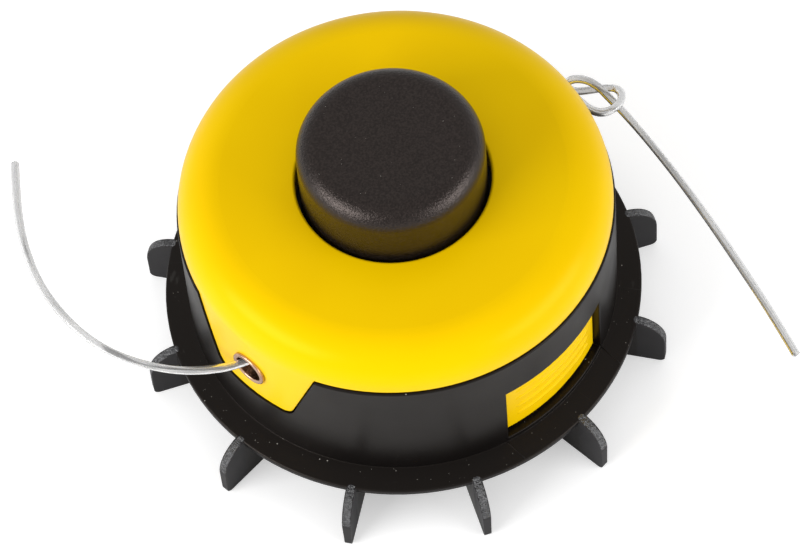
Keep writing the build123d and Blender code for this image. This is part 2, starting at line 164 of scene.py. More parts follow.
class TrimmerHeadSizes(bpy.types.PropertyGroup):
    """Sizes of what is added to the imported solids."""

    line_width: length("Line width", "Thickness of the nylon line", 0.0016)
    line_corner: length("Line corner", "Rounding of the line's nearly square section", 0.00052)
    line_twist: angle("Line twist", "Turn of the line's section from one end to the other", 150)
    pad_radius: length("Pad radius", "Distance of the latch pads' faces from the axis", 0.0444)
    bead_count: IntProperty(name="Beads", description="Number of beads on a pad", min=1, default=4)
    bead_pitch: length("Bead pitch", "Distance from bead to bead", 0.0030)
    bead_round: length("Bead rounding", "Radius of a bead's section", 0.0013)
    bead_height: length("Bead height", "How far a bead stands above its pad", 0.00025)
    bead_middle_z: length("Bead middle", "Height of the middle of the beads", 0.0267)
    bead_reach: length("Bead reach", "From the middle of a bead to its full end", 0.0095)
    bead_taper: length("Bead taper", "How far a bead runs out beyond its full end", 0.0018)
    fin_count: IntProperty(name="Fins", description="Number of fan fins", min=1, default=12)
    fin_thickness: length("Fin thickness", "Width of a fin's crest", 0.0020)
    fin_crest_radius: length("Crest radius", "Where a fin's crest leaves the flange", 0.05065)
    fin_crest_z: length("Crest height", "Height of the flange rim", 0.0145)
    fin_curve_x: length("Curve centre", "Distance of the crest's centre from the axis", 0.05035)
    fin_curve_z: length("Curve centre height", "Height of the crest's centre", 0.007656)
    flash_sweep: angle("Flash sweep", "How far the rough skin follows a fin's crest", 80)
    flash_height: length("Flash height", "How far the rough skin stands above a fin's crest", 0.00014)
    flash_drop: length("Flash drop", "Radius of the drop of plastic where a fin leaves the rim", 0.0007)
    wall_radius: length("Wall radius", "Outer radius of the base's wall", 0.0459)
    wall_foot_z: length("Wall foot", "Height of the flange at the wall", 0.0157)
    rim_radius: length("Rim radius", "Radius where the flange's rim starts to round", 0.0507)
    rim_z: length("Rim height", "Height of the flange there", 0.01459)
    witness_offset: length("Witness offset", "Distance of the witness lines from the middle", 0.0151)
    witness_width: length("Witness width", "Width of the mould's witness lines on the flange", 0.00022)
    witness_height: length("Witness height", "Height of the mould's witness lines", 0.0001)
    thread_radius: length("Thread radius", "Inner radius of the drive insert's thread", 0.0034)
    thread_depth: length("Thread depth", "Depth of the drive insert's thread", 0.0006)
    thread_pitch: length("Thread pitch", "Pitch of the drive insert's thread", 0.00125)
    thread_mouth: length("Thread mouth", "Chamfer at the mouth of the thread", 0.0008)


class TrimmerHeadFinishes(bpy.types.PropertyGroup):
    """Colours and marks of the surfaces."""

    cover_yellow: colour("Cover", "Yellow of the cover", (0.90, 0.575, 0.0))
    # Painted highlight: this paler yellow is laid along the cover's edges in place of the light their
    # rounding catches.
    cover_highlight_yellow: colour("Cover edges", "Paler yellow of rubbed edges", (1.0, 0.70, 0.06))
    cover_sheen: colour("Cover sheen", "Tint of the cover's reflections", (1.0, 0.80, 0.14))
    cover_deep: colour("Cover deep", "Deeper yellow of the cover's thick places", (0.88, 0.552, 0.0))
    base_black: colour("Base", "Black of the base", (0.0044, 0.0036, 0.0034))
    base_sheen: colour("Base sheen", "Tint of the base's reflections", (1.0, 0.87, 0.76))
    base_scuffed: colour("Base scuffs", "Grey of the fine scuffs", (0.07, 0.068, 0.064))
    # Painted highlight: this grey is laid along the edges of the flange's rim and the fins.
    rim_fin_highlight_grey: colour("Fin edges", "Grey of rubbed edges", (0.22, 0.22, 0.23))
    flash_grey: colour("Fin flash", "Lighter grey of the torn skin", (0.06, 0.06, 0.064))
    fin_grey: colour("Fins", "Dull dark grey of the fins", (0.019, 0.019, 0.0212))
    knob_black: colour("Knob", "Black of the tap knob", (0.0010, 0.0006, 0.0005))
    knob_speckle: colour("Knob speckle", "Lighter points of the knob's grain", (0.0165, 0.0125, 0.0112))
    knob_sheen: colour("Knob sheen", "Tint of the knob's reflections", (1.0, 0.84, 0.78))
    spool_worn: colour("Spool worn", "Lighter grey of the spool", (0.055, 0.055, 0.058))
    spool_grey: colour("Spool", "Dark grey of the spool", (0.035, 0.035, 0.037))
    eyelet_brass: colour("Eyelets", "Rose brass of the eyelets", (0.66, 0.42, 0.29))
    eyelet_tarnish: colour("Eyelet tarnish", "Darker brass of the eyelets", (0.45, 0.25, 0.15))
    insert_tarnish: colour("Insert tarnish", "Darker brass of the insert", (0.40, 0.28, 0.12))
    insert_brass: colour("Insert", "Yellow brass of the drive insert", (0.72, 0.55, 0.27))
    steel: colour("Steel", "Spring and washer", (0.55, 0.56, 0.58))
    steel_dark: colour("Steel dark", "Darker patches of spring and washer", (0.30, 0.30, 0.31))
    nylon: colour("Line", "Tint of the clear nylon line", (0.60, 0.60, 0.60))
    line_clear: amount("Line clearness", "Share of the light that passes the line", 0.78)
    dust: colour("Dust", "Specks of dust on the black plastics", (0.42, 0.40, 0.36))
    dust_share: amount("Dust share", "Share of the places that hold a speck", 0.08)
    scuff_share: amount("Scuffs", "Strength of the fine scuffs", 0.3)
    # Strength of the painted highlights on the edges of cover and base.
    edge_highlight_share: amount("Edges", "Strength of the pale rubbed edges", 0.25)


class TrimmerHeadStudio(bpy.types.PropertyGroup):
    """Floor and lamps."""

    floor_white: colour("Floor", "Colour of the floor", (0.90, 0.90, 0.90))
    floor_radius: length("Floor radius", "Reach of the floor", 6.0)
    floor_lift: FloatProperty(
        name="Floor lift", description="Light that the eye sees the floor give by itself", default=0.36
    )
    sky: FloatProperty(name="Sky", description="Strength of the even light from all round", default=0.64)
    left_power: FloatProperty(name="Left lamp", description="Power", unit="POWER", default=4.1)
    left_turn: angle("Left turn", "Turn of the left lamp from the camera's side", -61)
    left_rise: angle("Left rise", "Height of the left lamp above the floor", 24)
    right_power: FloatProperty(name="Right lamp", description="Power", unit="POWER", default=2.9)
    right_turn: angle("Right turn", "Turn of the right lamp from the camera's side", 62)
    right_rise: angle("Right rise", "Height of the right lamp above the floor", 15)
    lamp_distance: length("Lamp distance", "From the object to each lamp", 0.75)
    lamp_aim_z: length("Lamp aim", "Height of the point that the lamps face", 0.045)
    lamp_width: length("Lamp width", "Width of each soft lamp", 0.56)
    lamp_height: length("Lamp height", "Height of each soft lamp", 0.26)


PROPERTY_GROUPS = {
    "trimmer_head_view": TrimmerHeadView,
    "trimmer_head_sizes": TrimmerHeadSizes,
    "trimmer_head_finishes": TrimmerHeadFinishes,
    "trimmer_head_studio": TrimmerHeadStudio,
}


def put(tree, kind, inputs=None, **settings):
    """Places a shader node, with its settings and the values or links of its inputs."""
    node = tree.nodes.new("ShaderNode" + kind)
    for name, value in settings.items():
        setattr(node, name, value)
    for key, value in (inputs or {}).items():
        if isinstance(value, bpy.types.NodeSocket):
            tree.links.new(value, node.inputs[key])
        else:
            node.inputs[key].default_value = value
    return node


def calc(tree, operation, *values):
    """Result of a Math node."""
    return put(tree, "Math", dict(enumerate(values)), operation=operation).outputs[0]


def fade(tree, value, low, high, to_low=0.0, to_high=1.0):
    """A value brought smoothly from one range to another, and held there."""
    ranges = {"Value": value, "From Min": low, "From Max": high, "To Min": to_low, "To Max": to_high}
    return put(tree, "MapRange", ranges, interpolation_type="SMOOTHSTEP").outputs["Result"]


def tint(tree, share, first, second):
    """Mix of two colours."""
    mixed = put(tree, "Mix", data_type="RGBA")
    for index, value in ((0, share), (6, first), (7, second)):
        if isinstance(value, bpy.types.NodeSocket):
            tree.links.new(value, mixed.inputs[index])
        else:
            mixed.inputs[index].default_value = value
    return mixed.outputs[2]


def rgba(values):
    """A stored colour with full alpha."""
    return (*values, 1.0)


def group_of(name, inputs, outputs, fill):
    """A shader node group, built once: fill gets its tree and the sockets of its inputs."""
    if name in bpy.data.node_groups:
        return bpy.data.node_groups[name]
    tree = bpy.data.node_groups.new(name, "ShaderNodeTree")
    for label, kind, default in inputs:
        socket = tree.interface.new_socket(label, in_out="INPUT", socket_type="NodeSocket" + kind)
        if default is not None:
            socket.default_value = default
    for label, kind in outputs:
        tree.interface.new_socket(label, in_out="OUTPUT", socket_type="NodeSocket" + kind)
    entry = tree.nodes.new("NodeGroupInput")
    results = fill(tree, {socket.name: socket for socket in entry.outputs if socket.name})
    leave = tree.nodes.new("NodeGroupOutput")
    for label, result in results.items():
        tree.links.new(result, leave.inputs[label])
    return tree


def use(tree, group, **inputs):
    """Places a node group in a material."""
    node = tree.nodes.new("ShaderNodeGroup")
    node.node_tree = group
    for label, value in inputs.items():
        socket = node.inputs[label.replace("_", " ")]
        if isinstance(value, bpy.types.NodeSocket):
            tree.links.new(value, socket)
        else:
            socket.default_value = value
    return node


def dust_group():
    """Round specks of dust, scattered one to a cell."""

    def fill(tree, given):
        cells = put(tree, "TexVoronoi", {"Vector": given["Vector"], "Scale": given["Scale"]})
        chance = put(tree, "SeparateColor", {"Color": cells.outputs["Color"]})
        settled = calc(tree, "LESS_THAN", chance.outputs["Red"], given["Share"])
        size = calc(tree, "MULTIPLY_ADD", chance.outputs["Green"], 0.16, 0.05)
        inside = calc(tree, "SUBTRACT", size, cells.outputs["Distance"])
        speck = fade(tree, inside, 0.0, 0.06)
        return {"Mask": calc(tree, "MULTIPLY", settled, speck)}

    inputs = [("Vector", "Vector", None), ("Scale", "Float", 500.0), ("Share", "Float", 0.1)]
    return group_of("Dust Specks", inputs, [("Mask", "Float")], fill)


def grain_group():
    """Spark-eroded mould grain: fine pits over a slow swell."""

    def fill(tree, given):
        fine = {"Vector": given["Vector"], "Scale": given["Scale"], "Detail": 3.0, "Roughness": 0.6}
        pits = put(tree, "TexNoise", fine).outputs["Fac"]
        slow = {"Vector": given["Vector"], "Scale": given["Swell Scale"], "Detail": 1.0}
        swell = put(tree, "TexNoise", slow).outputs["Fac"]
        slow_height = calc(tree, "MULTIPLY", swell, given["Swell"])
        height = calc(tree, "MULTIPLY_ADD", pits, given["Pits"], slow_height)
        return {"Height": height, "Pits": pits, "Swell": swell}

    inputs = [
        ("Vector", "Vector", None),
        ("Scale", "Float", 3000.0),
        ("Pits", "Float", 1.0),
        ("Swell Scale", "Float", 120.0),
        ("Swell", "Float", 0.3),
    ]
    outputs = [("Height", "Float"), ("Pits", "Float"), ("Swell", "Float")]
    return group_of("Mould Grain", inputs, outputs, fill)


def scuff_group():
    """Fine short scuffs that run round the turning axis and up and down the wall."""

    def fill(tree, given):
        part = put(tree, "SeparateXYZ", {"Vector": given["Vector"]})
        round_angle = calc(tree, "ARCTAN2", part.outputs["Y"], part.outputs["X"])
        marks = None
        for along, across in ((9.0, 2600.0), (150.0, 160.0)):
            place = put(
                tree,
                "CombineXYZ",
                {
                    "X": calc(tree, "MULTIPLY", round_angle, along),
                    "Y": calc(tree, "MULTIPLY", part.outputs["Z"], across),
                    "Z": calc(tree, "MULTIPLY", part.outputs["Z"], 40.0),
                },
            )
            streaks = put(tree, "TexNoise", {"Vector": place.outputs[0], "Scale": 1.0, "Detail": 2.0})
            thin = fade(tree, streaks.outputs["Fac"], 0.64, 0.74)
            marks = thin if marks is None else calc(tree, "MAXIMUM", marks, thin)
        spread = {"Vector": given["Vector"], "Scale": given["Scale"], "Detail": 2.0}
        patches = put(tree, "TexNoise", spread)
        worn = fade(tree, patches.outputs["Fac"], 0.5, 0.7)
        return {"Mask": calc(tree, "MULTIPLY", marks, worn)}

    inputs = [("Vector", "Vector", None), ("Scale", "Float", 70.0)]
    return group_of("Fine Scuffs", inputs, [("Mask", "Float")], fill)


def edge_group():
    """Small rounding of sharp moulded edges, and a mask of those edges, where cover and base paint their
    edge highlights.
    """

    def fill(tree, given):
        rounded = put(tree, "Bevel", {"Radius": given["Radius"]}, samples=6).outputs["Normal"]
        flat = put(tree, "NewGeometry").outputs["Normal"]
        match = put(tree, "VectorMath", {0: rounded, 1: flat}, operation="DOT_PRODUCT").outputs["Value"]
        return {"Normal": rounded, "Mask": fade(tree, match, 0.995, 0.80)}

    inputs = [("Radius", "Float", 0.0003)]
    return group_of("Moulded Edges", inputs, [("Normal", "Vector"), ("Mask", "Float")], fill)


def new_material(name, **values):
    """A material with a Principled BSDF, whose even values are set on its own sockets."""
    material = bpy.data.materials.new(name)
    material.use_nodes = True
    tree = material.node_tree
    shader = next(node for node in tree.nodes if node.type == "BSDF_PRINCIPLED")
    for socket, value in values.items():
        shader.inputs[socket.replace("_", " ")].default_value = value
    return material, tree, shader


def object_place(tree):
    """Object coordinates, in metres."""
    return put(tree, "TexCoord").outputs["Object"]


def feed(tree, shader, **sockets):
    """Links results to the shader's sockets."""
    for label, result in sockets.items():
        tree.links.new(result, shader.inputs[label.replace("_", " ")])


def from_axis(tree, place):
    """Distance from the turning axis."""
    level = {0: place, 1: (1.0, 1.0, 0.0)}
    flat = put(tree, "VectorMath", level, operation="MULTIPLY").outputs["Vector"]
    return put(tree, "VectorMath", {0: flat}, operation="LENGTH").outputs["Value"]


def bumpy(tree, height, strength, distance, normal=None):
    """Normal of a surface with a fine relief."""
    inputs = {"Height": height, "Strength": strength, "Distance": distance}
    if normal is not None:
        inputs["Normal"] = normal
    return put(tree, "Bump", inputs).outputs["Normal"]


def facing_up(tree):
    """One on faces that look up, where dust settles."""
    normal = put(tree, "NewGeometry").outputs["Normal"]
    return fade(tree, put(tree, "SeparateXYZ", {"Vector": normal}).outputs["Z"], 0.6, 0.9)


def cover_material(finishes):
    """Satin yellow plastic, moulded in colour, with a painted highlight along its edges."""
    gloss = {"Specular_IOR_Level": 0.17, "Specular_Tint": rgba(finishes.cover_sheen)}
    material, tree, shader = new_material("cover_yellow_plastic", **gloss)
    place = object_place(tree)
    grain = use(tree, grain_group(), Vector=place, Scale=1500.0, Pits=0.35, Swell_Scale=45.0, Swell=1.0)
    edges = use(tree, edge_group(), Radius=0.0003)
    scuffs = use(tree, scuff_group(), Vector=place, Scale=60.0)
    body = tint(
        tree,
        fade(tree, grain.outputs["Swell"], 0.35, 0.65),
        rgba(finishes.cover_deep),
        rgba(finishes.cover_yellow),
    )
    # Painted highlight: the cover's edges are lightened towards the paler yellow.
    pale = calc(tree, "MULTIPLY", edges.outputs["Mask"], finishes.edge_highlight_share)
    edged = tint(tree, pale, body, rgba(finishes.cover_highlight_yellow))
    rough = calc(tree, "MULTIPLY_ADD", grain.outputs["Pits"], 0.06, 0.27)
    rough = calc(tree, "MULTIPLY_ADD", scuffs.outputs["Mask"], 0.12, rough)
    normal = bumpy(tree, grain.outputs["Height"], 0.03, 0.00012, edges.outputs["Normal"])
    feed(tree, shader, Base_Color=edged, Roughness=rough, Normal=normal)
    return material


def base_material(finishes):
    """Satin black glass-filled plastic with dull fins, fine scuffs and dust on its flange, and a painted
    highlight along the edges of its rim and fins.
    """
    fin_zone = (0.0509, 0.0514)
    rim_zone = (0.0497, 0.0506)
    gloss = {"Specular_IOR_Level": 0.2, "Specular_Tint": rgba(finishes.base_sheen)}
    material, tree, shader = new_material("base_black_plastic", **gloss)
    place = object_place(tree)
    grain = use(
        tree, grain_group(), Vector=place, Scale=2200.0, Pits=0.6, Swell_Scale=90.0, Swell=0.5
    )
    edges = use(tree, edge_group(), Radius=0.00028)
    scuffs = use(tree, scuff_group(), Vector=place, Scale=70.0)
    dust = use(tree, dust_group(), Vector=place, Scale=1300.0, Share=finishes.dust_share)
    fine_dust = use(tree, dust_group(), Vector=place, Scale=2600.0, Share=finishes.dust_share / 2)
    reach = from_axis(tree, place)
    fin = fade(tree, reach, *fin_zone)
    body = tint(tree, fin, rgba(finishes.base_black), rgba(finishes.fin_grey))
    # Painted highlight: edges from the flange's rim outwards, fins included, are lightened to grey,
    # broken up by the grain's pits.
    highlit = calc(tree, "MULTIPLY", edges.outputs["Mask"], fade(tree, reach, *rim_zone))
    highlit = calc(tree, "MULTIPLY", highlit, grain.outputs["Pits"])
    highlit = calc(tree, "MULTIPLY", highlit, finishes.edge_highlight_share)
    edged = tint(tree, highlit, body, rgba(finishes.rim_fin_highlight_grey))
    marked = calc(tree, "MULTIPLY", scuffs.outputs["Mask"], finishes.scuff_share)
    scuffed = tint(tree, marked, edged, rgba(finishes.base_scuffed))
    specks = calc(tree, "MAXIMUM", dust.outputs["Mask"], fine_dust.outputs["Mask"])
    specks = calc(tree, "MULTIPLY", specks, facing_up(tree))
    dusty = tint(tree, specks, scuffed, rgba(finishes.dust))
    rough = calc(tree, "MULTIPLY_ADD", grain.outputs["Swell"], 0.14, 0.27)
    rough = calc(tree, "MULTIPLY_ADD", fin, 0.12, rough)
    rough = calc(tree, "MULTIPLY_ADD", specks, 0.4, rough)
    normal = bumpy(tree, grain.outputs["Height"], 0.22, 0.0001, edges.outputs["Normal"])
    feed(tree, shader, Base_Color=dusty, Roughness=rough, Normal=normal)
    return material


def flash_material(finishes):
    """Rough torn skin along the fins' crests, shinier than the fins."""
    material, tree, shader = new_material("fin_flash", Specular_IOR_Level=1.0)
    place = object_place(tree)
    grain = use(tree, grain_group(), Vector=place, Scale=1700.0, Pits=1.0, Swell_Scale=600.0, Swell=0.8)
    body = tint(
        tree,
        fade(tree, grain.outputs["Swell"], 0.35, 0.7),
        rgba(finishes.fin_grey),
        rgba(finishes.flash_grey),
    )
    rough = calc(tree, "MULTIPLY_ADD", grain.outputs["Pits"], 0.25, 0.10)
    normal = bumpy(tree, grain.outputs["Height"], 1.0, 0.0005)
    feed(tree, shader, Base_Color=body, Roughness=rough, Normal=normal)
    return material


def knob_material(finishes):
    """Black plastic with a spark-eroded grain that sparkles in the light."""
    gloss = {"Specular_IOR_Level": 0.38, "Specular_Tint": rgba(finishes.knob_sheen), "IOR": 1.55}
    material, tree, shader = new_material("knob_grained_plastic", **gloss)
    place = object_place(tree)
    grain = use(tree, grain_group(), Vector=place, Scale=2300.0, Pits=1.0, Swell_Scale=160.0, Swell=0.25)
    dust = use(tree, dust_group(), Vector=place, Scale=2600.0, Share=finishes.dust_share / 3)
    speckle = fade(tree, grain.outputs["Pits"], 0.32, 0.68)
    body = tint(tree, speckle, rgba(finishes.knob_black), rgba(finishes.knob_speckle))
    settled = calc(tree, "MULTIPLY", dust.outputs["Mask"], facing_up(tree))
    dusty = tint(tree, settled, body, rgba(finishes.dust))
    rough = calc(tree, "MULTIPLY_ADD", grain.outputs["Swell"], 0.08, 0.16)
    normal = bumpy(tree, grain.outputs["Height"], 0.6, 0.00021)
    feed(tree, shader, Base_Color=dusty, Roughness=rough, Normal=normal)
    return material


def spool_material(finishes):
    """Dull grey plastic of the hidden spool."""
    material, tree, shader = new_material("spool_plastic", Specular_IOR_Level=0.4)
    place = object_place(tree)
    grain = use(tree, grain_group(), Vector=place, Scale=1800.0, Pits=0.5, Swell_Scale=80.0, Swell=0.6)
    edges = use(tree, edge_group(), Radius=0.00025)
    body = tint(tree, grain.outputs["Swell"], rgba(finishes.spool_grey), rgba(finishes.spool_worn))
    rough = calc(tree, "MULTIPLY_ADD", grain.outputs["Pits"], 0.2, 0.42)
    normal = bumpy(tree, grain.outputs["Height"], 0.2, 0.0001, edges.outputs["Normal"])
    feed(tree, shader, Base_Color=body, Roughness=rough, Normal=normal)
    return material


def metal_material(name, hue, dark, grain_scale, roughness):
    """Metal with fine tool marks and tarnish in patches."""
    material, tree, shader = new_material(name, Metallic=1.0)
    place = object_place(tree)
    scales = {"Scale": grain_scale, "Swell_Scale": grain_scale / 9}
    grain = use(tree, grain_group(), Vector=place, Pits=0.5, Swell=0.5, **scales)
    body = tint(tree, fade(tree, grain.outputs["Swell"], 0.4, 0.75), rgba(hue), rgba(dark))
    rough = calc(tree, "MULTIPLY_ADD", grain.outputs["Pits"], 0.2, roughness)
    normal = bumpy(tree, grain.outputs["Height"], 0.12, 0.00005)
    feed(tree, shader, Base_Color=body, Roughness=rough, Normal=normal)
    return material


def line_material(name, hue, clear):
    """Extruded nylon, more or less clear, with faint cloud and drawing marks."""
    material, tree, shader = new_material(name, Transmission_Weight=clear, IOR=1.53)
    place = object_place(tree)
    grain = use(tree, grain_group(), Vector=place, Scale=900.0, Pits=0.5, Swell_Scale=150.0, Swell=0.5)
    pale = [min(1.0, 1.15 * channel) for channel in hue]
    dark = [0.3 * channel for channel in hue]
    cloud = tint(tree, grain.outputs["Swell"], rgba(hue), rgba(pale))
    along = put(tree, "TexCoord").outputs["UV"]
    stretched = put(tree, "Mapping", {"Vector": along, "Scale": (5.0, 3.0, 1.0)}).outputs[0]
    marks = put(tree, "TexNoise", {"Vector": stretched, "Scale": 1.0, "Detail": 1.0})
    drawn = fade(tree, marks.outputs["Fac"], 0.52, 0.66)
    cloud = tint(tree, drawn, cloud, rgba(dark))
    rough = calc(tree, "MULTIPLY_ADD", grain.outputs["Pits"], 0.12, 0.08)
    normal = bumpy(tree, grain.outputs["Height"], 0.08, 0.0001)
    feed(tree, shader, Base_Color=cloud, Roughness=rough, Normal=normal)
    return material


def dress(node_name, material):
    """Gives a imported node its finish."""
    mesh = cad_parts[node_name].data
    mesh.materials.clear()
    mesh.materials.append(material)


def add_object(name, data):
    """Links a new object at the origin."""
    made = bpy.data.objects.new(name, data)
    bpy.context.scene.collection.objects.link(made)
    return made


def add_mesh(name, shape, material, smooth=True):
    """Turns a finished bmesh into an object with one material."""
    mesh = bpy.data.meshes.new(name)
    for face in shape.faces:
        face.smooth = smooth
    shape.to_mesh(mesh)
    shape.free()
    mesh.materials.append(material)
    return add_object(name, mesh)


def seat(piece, body):
    """Rides a new piece on its body."""
    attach(piece, body)


def line_section(sizes):
    """Nearly square section of the line, as a flat closed curve that isn't shown."""
    half = sizes.line_width / 2
    shape = bpy.data.curves.new("line_section", "CURVE")
    shape.dimensions = "2D"
    shape.resolution_u = 4
    spline = shape.splines.new("BEZIER")
    corners = [(half, 0.0), (0.0, half), (-half, 0.0), (0.0, -half)]
    spline.bezier_points.add(len(corners) - 1)
    for point, (x, y) in zip(spline.bezier_points, corners):
        along = Vector((-y, x, 0.0)) * (sizes.line_corner / half) * CORNER_HANDLE
        point.co = (x, y, 0.0)
        point.handle_left = point.co - along
        point.handle_right = point.co + along
    spline.use_cyclic_u = True
    return bpy.data.objects.new("line_section", shape)


def lay_line(name, route, replaced, section, material, sizes):
    """A free line end along its route, with its section turning slowly on the way."""
    shape = bpy.data.curves.new(name, "CURVE")
    shape.dimensions = "3D"
    shape.bevel_mode = "OBJECT"
    shape.bevel_object = section
    shape.use_fill_caps = True
    spline = shape.splines.new("NURBS")
    spline.points.add(len(route) - 1)
    for index, (point, place) in enumerate(zip(spline.points, route)):
        point.co = (*place, 1.0)
        point.tilt = sizes.line_twist * index / (len(route) - 1)
    spline.order_u = 3
    spline.use_endpoint_u = True
    spline.resolution_u = 10
    shape.materials.append(material)
    line = add_object(name, shape)
    seat(line, "housing")
    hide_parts(replaced)
    return line


class TRIMMER_HEAD_OT_camera(bpy.types.Operator):
    """Stands the camera where the head is seen from above its left front"""

    bl_idname = "trimmer_head.camera"
    bl_label = "Camera"

    def execute(self, context):
        view = context.scene.trimmer_head_view
        data = bpy.data.cameras.new("view_camera")
        data.lens = view.lens
        camera = add_object("view_camera", data)
        sight = Vector(view.aim) - Vector(view.place)
        turn = sight.to_track_quat("-Z", "Y") @ Quaternion((0, 0, 1), view.roll)
        camera.matrix_world = Matrix.LocRotScale(Vector(view.place), turn, None)
        context.scene.camera = camera
        return {"FINISHED"}


class TRIMMER_HEAD_OT_free_lines(bpy.types.Operator):
    """Lays the two free ends of the nylon line"""

    bl_idname = "trimmer_head.free_lines"
    bl_label = "Free Lines"

    def execute(self, context):
        sizes = context.scene.trimmer_head_sizes
        finishes = context.scene.trimmer_head_finishes
        section = line_section(sizes)
        nylon = line_material("clear_nylon_line", finishes.nylon, finishes.line_clear)
        left = lay_line("free_line_left", LEFT_ROUTE, "line_left", section, nylon, sizes)
        right = lay_line("free_line_right", RIGHT_ROUTE, "line_right", section, nylon, sizes)
        return {"FINISHED"}


class TRIMMER_HEAD_OT_cover(bpy.types.Operator):
    """Finishes the yellow cover and lets the beads on its pads run out softly"""

    bl_idname = "trimmer_head.cover"
    bl_label = "Cover"

    def execute(self, context):
        sizes = context.scene.trimmer_head_sizes
        yellow = cover_material(context.scene.trimmer_head_finishes)
        dress("cover", yellow)
        depth = sizes.bead_round - sizes.bead_height
        stretch = sizes.bead_taper / math.sqrt(1 - (depth / sizes.bead_round) ** 2)
        swell = Matrix.Diagonal((sizes.bead_round, stretch, sizes.bead_round, 1))
        shape = bmesh.new()
        for bead in range(sizes.bead_count):
            z = sizes.bead_middle_z + (bead - (sizes.bead_count - 1) / 2) * sizes.bead_pitch
            lie = Matrix.Translation((sizes.pad_radius - depth, 0, z)) @ swell
            for pad in (math.pi / 2, -math.pi / 2):
                for end in (-1, 1):
                    turn = Matrix.Rotation(pad + end * sizes.bead_reach / sizes.pad_radius, 4, "Z")
                    bmesh.ops.create_icosphere(shape, subdivisions=4, radius=1.0, matrix=turn @ lie)
        seat(add_mesh("bead_ends", shape, yellow), "housing")
        return {"FINISHED"}


class TRIMMER_HEAD_OT_base(bpy.types.Operator):
    """Finishes the black base and adds the mould's witness lines on its flange"""

    bl_idname = "trimmer_head.base"
    bl_label = "Base"

    def execute(self, context):
        sizes = context.scene.trimmer_head_sizes
        black = base_material(context.scene.trimmer_head_finishes)
        dress("base_housing", black)
        foot_y = math.sqrt(sizes.wall_radius**2 - sizes.witness_offset**2)
        rim_y = math.sqrt(sizes.rim_radius**2 - sizes.witness_offset**2)
        shape = bmesh.new()
        for x in (-sizes.witness_offset, sizes.witness_offset):
            for side in (-1, 1):
                foot = Vector((x, side * foot_y, sizes.wall_foot_z))
                rim = Vector((x, side * rim_y, sizes.rim_z))
                run = rim - foot
                lie = run.to_track_quat("X", "Z").to_matrix().to_4x4()
                size = Matrix.Diagonal((run.length, sizes.witness_width, 2 * sizes.witness_height, 1))
                bmesh.ops.create_cube(
                    shape, size=1.0, matrix=Matrix.Translation((foot + rim) / 2) @ lie @ size
                )
        bmesh.ops.bevel(
            shape,
            geom=list(shape.edges),
            offset=sizes.witness_height / 2,
            offset_type="OFFSET",
            affect="EDGES",
            segments=2,
            profile=0.5,
            material=-1,
        )
        seat(add_mesh("witness_lines", shape, black), "housing")
        return {"FINISHED"}


def flash_strip(sizes, fin):
    """Torn skin over the crest of one fin on +X, with the drop of plastic at its root."""
    centre = Vector((sizes.fin_curve_x, 0, sizes.fin_curve_z))
    half = sizes.fin_thickness / 2
    strip = bmesh.new()
    row = []
    for step in range(FLASH_COLUMNS):
        y = half * (2 * step / (FLASH_COLUMNS - 1) - 1)
        row.append(strip.verts.new((sizes.fin_crest_radius, y, sizes.fin_crest_z)))
    for first, second in zip(row, row[1:]):
        strip.edges.new((first, second))
    bmesh.ops.spin(
        strip,
        geom=list(strip.verts) + list(strip.edges),
        cent=centre,
        axis=(0, 1, 0),
        angle=sizes.flash_sweep,
        steps=FLASH_STEPS,
        use_merge=False,
    )
    for vert in strip.verts:
        out = vert.co - centre
        out.y = 0
        seed = vert.co * FLASH_FREQUENCY + Vector((0, 0, FLASH_SHIFT * fin))
        torn = noise.noise(seed) + 0.6 * noise.noise(seed * 2.3)
        edge = abs(vert.co.y) / half
        lift = 0.3 + 0.7 * torn - 0.9 * edge**8
        nibble = 0.10 * edge * (0.5 + noise.noise(seed * 0.7))
        vert.co += out.normalized() * sizes.flash_height * lift
        vert.co.y *= 1 - nibble
    bmesh.ops.recalc_face_normals(strip, faces=list(strip.faces))
    root = Matrix.Translation((sizes.fin_crest_radius, 0, sizes.fin_crest_z))
    flattened = Matrix.Diagonal((0.8, 1.2, 0.35, 1))
    bmesh.ops.create_icosphere(
        strip, subdivisions=3, radius=sizes.flash_drop, matrix=root @ flattened
    )
    return strip


class TRIMMER_HEAD_OT_fin_flash(bpy.types.Operator):
    """Adds the rough moulding skin along the crests of the fan fins"""

    bl_idname = "trimmer_head.fin_flash"
    bl_label = "Fin Flash"

    def execute(self, context):
        sizes = context.scene.trimmer_head_sizes
        shape = bmesh.new()
        for fin in range(sizes.fin_count):
            strip = flash_strip(sizes, fin)
            turn = Matrix.Rotation(2 * math.pi * fin / sizes.fin_count, 3, "Z")
            bmesh.ops.rotate(strip, verts=list(strip.verts), cent=(0, 0, 0), matrix=turn)
            piece = bpy.data.meshes.new("fin_strip")
            strip.to_mesh(piece)
            strip.free()
            shape.from_mesh(piece)
            bpy.data.meshes.remove(piece)
        flash = add_mesh("fin_flash", shape, flash_material(context.scene.trimmer_head_finishes))
        seat(flash, "housing")
        return {"FINISHED"}


class TRIMMER_HEAD_OT_knob(bpy.types.Operator):
    """Finishes the grained tap knob"""

    bl_idname = "trimmer_head.knob"
    bl_label = "Tap Knob"

    def execute(self, context):
        dress("bump_knob", knob_material(context.scene.trimmer_head_finishes))
        return {"FINISHED"}


class TRIMMER_HEAD_OT_eyelets(bpy.types.Operator):
    """Finishes the rolled brass eyelets"""

    bl_idname = "trimmer_head.eyelets"
    bl_label = "Eyelets"

    def execute(self, context):
        finishes = context.scene.trimmer_head_finishes
        hues = finishes.eyelet_brass, finishes.eyelet_tarnish
        brass = metal_material("rose_brass", *hues, grain_scale=2500.0, roughness=0.14)
        dress("eyelet_left", brass)
        dress("eyelet_right", brass)
        return {"FINISHED"}


def at_height(edge, height):
    """Whether an edge lies level at that height."""
    return all(abs(vert.co.z - height) < 1e-6 for vert in edge.verts)


